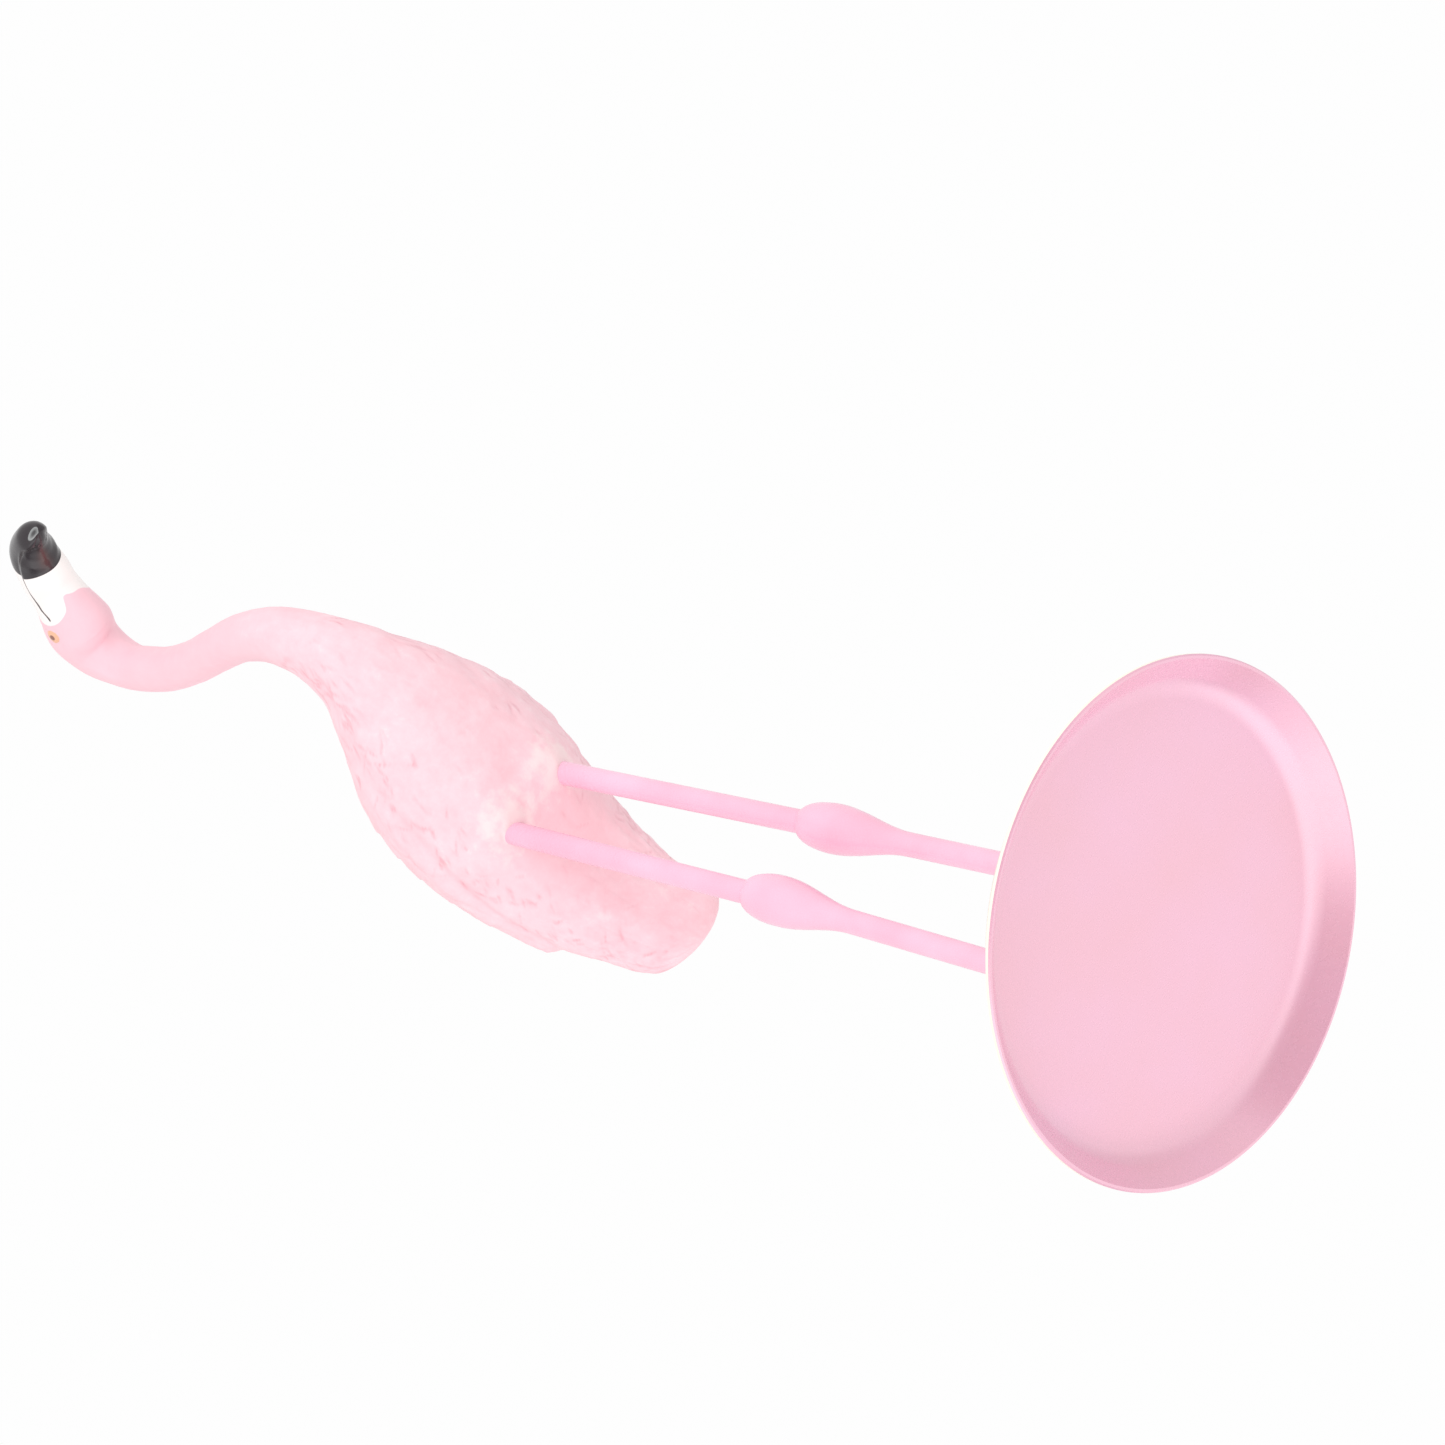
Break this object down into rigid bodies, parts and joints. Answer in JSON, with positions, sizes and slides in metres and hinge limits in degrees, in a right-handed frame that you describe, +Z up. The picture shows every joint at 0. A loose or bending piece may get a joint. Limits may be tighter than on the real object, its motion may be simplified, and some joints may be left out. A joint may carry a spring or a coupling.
{
  "type": "resin flamingo figurine",
  "caption": "Pale pink resin flamingo figurine standing on long knobbed legs on a round base that is hollow underneath.",
  "frame": {"origin": "on the table, under the middle of the whole figurine", "axes": "+Z up along the legs, -Y the way the beak points, +X the bird's left"},
  "size_m": [0.1, 0.1142, 0.3012],
  "materials": {
    "body_resin": "satin painted pale pink resin, with a white beak and a black tip",
    "leg_resin": "smooth glossy pink",
    "base_resin": "glossy pink"
  },
  "bodies": {
    "root": {"bird": "body_resin", "leg_left": "leg_resin", "leg_right": "leg_resin", "base": "base_resin"}
  },
  "joints": []
}
